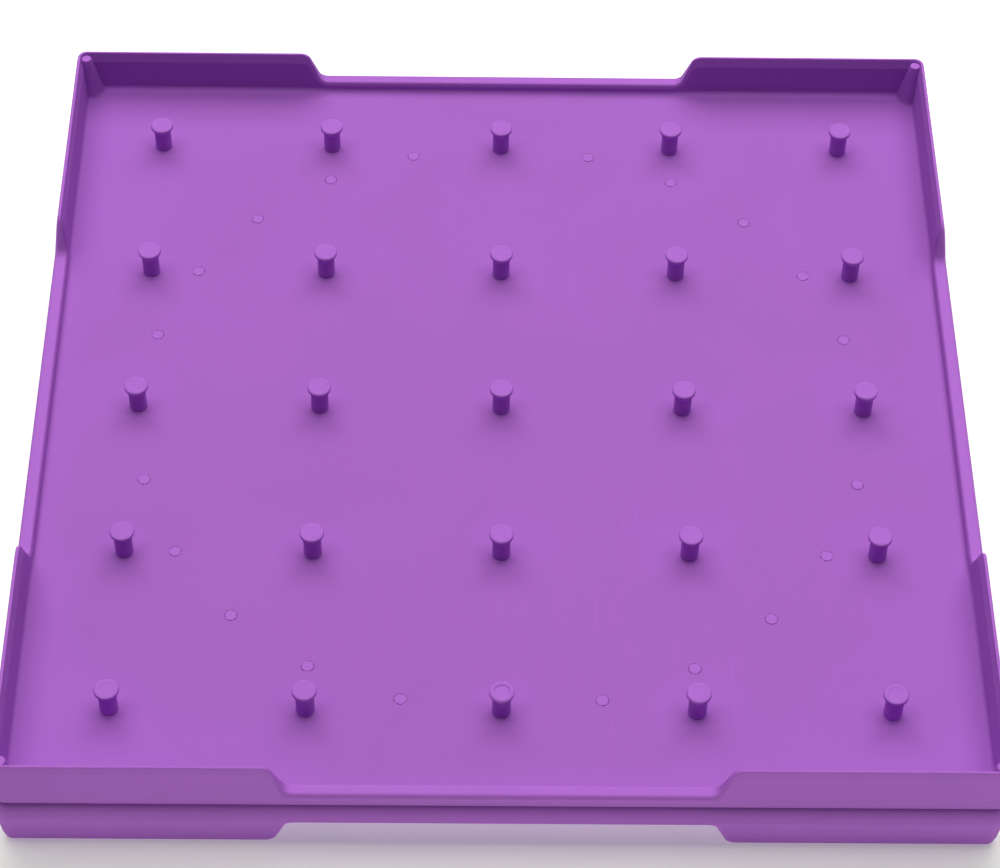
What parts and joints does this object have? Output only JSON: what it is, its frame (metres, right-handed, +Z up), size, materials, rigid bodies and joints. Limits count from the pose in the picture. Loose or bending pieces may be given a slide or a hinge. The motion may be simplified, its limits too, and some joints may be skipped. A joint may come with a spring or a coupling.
{
  "type": "geoboard",
  "caption": "Square double-sided plastic peg board: a grid of flared pegs on one face, a circle of pegs on the other, inside walls that dip along each side.",
  "frame": {"origin": "centre of the board, on the surface it stands on: the rims of the lower tray's tall walls", "axes": "+Z up, out of the face with the square grid of pegs. +X right and +Y back along two sides of the square, which are alike"},
  "size_m": [0.2302, 0.2302, 0.03],
  "materials": {
    "tray_plastic": "satin, smooth moulded",
    "peg_plastic": "satin, smooth moulded"
  },
  "bodies": {
    "root": {"grid_tray": "tray_plastic", "circle_tray": "tray_plastic", "grid_peg_r1c1": "peg_plastic", "grid_peg_r1c2": "peg_plastic", "grid_peg_r1c3": "peg_plastic", "grid_peg_r1c4": "peg_plastic", "grid_peg_r1c5": "peg_plastic", "grid_peg_r2c1": "peg_plastic", "grid_peg_r2c2": "peg_plastic", "grid_peg_r2c3": "peg_plastic", "grid_peg_r2c4": "peg_plastic", "grid_peg_r2c5": "peg_plastic", "grid_peg_r3c1": "peg_plastic", "grid_peg_r3c2": "peg_plastic", "grid_peg_r3c3": "peg_plastic", "grid_peg_r3c4": "peg_plastic", "grid_peg_r3c5": "peg_plastic", "grid_peg_r4c1": "peg_plastic", "grid_peg_r4c2": "peg_plastic", "grid_peg_r4c3": "peg_plastic", "grid_peg_r4c4": "peg_plastic", "grid_peg_r4c5": "peg_plastic", "grid_peg_r5c1": "peg_plastic", "grid_peg_r5c2": "peg_plastic", "grid_peg_r5c3": "peg_plastic", "grid_peg_r5c4": "peg_plastic", "grid_peg_r5c5": "peg_plastic", "circle_peg_01": "peg_plastic", "circle_peg_02": "peg_plastic", "circle_peg_03": "peg_plastic", "circle_peg_04": "peg_plastic", "circle_peg_05": "peg_plastic", "circle_peg_06": "peg_plastic", "circle_peg_07": "peg_plastic", "circle_peg_08": "peg_plastic", "circle_peg_09": "peg_plastic", "circle_peg_10": "peg_plastic", "circle_peg_11": "peg_plastic", "circle_peg_12": "peg_plastic", "circle_peg_13": "peg_plastic", "circle_peg_14": "peg_plastic", "circle_peg_15": "peg_plastic", "circle_peg_16": "peg_plastic", "circle_peg_17": "peg_plastic", "circle_peg_18": "peg_plastic", "circle_peg_19": "peg_plastic", "circle_peg_20": "peg_plastic", "circle_peg_21": "peg_plastic", "circle_peg_22": "peg_plastic", "circle_peg_23": "peg_plastic", "circle_peg_24": "peg_plastic", "circle_peg_centre": "peg_plastic"}
  },
  "joints": []
}
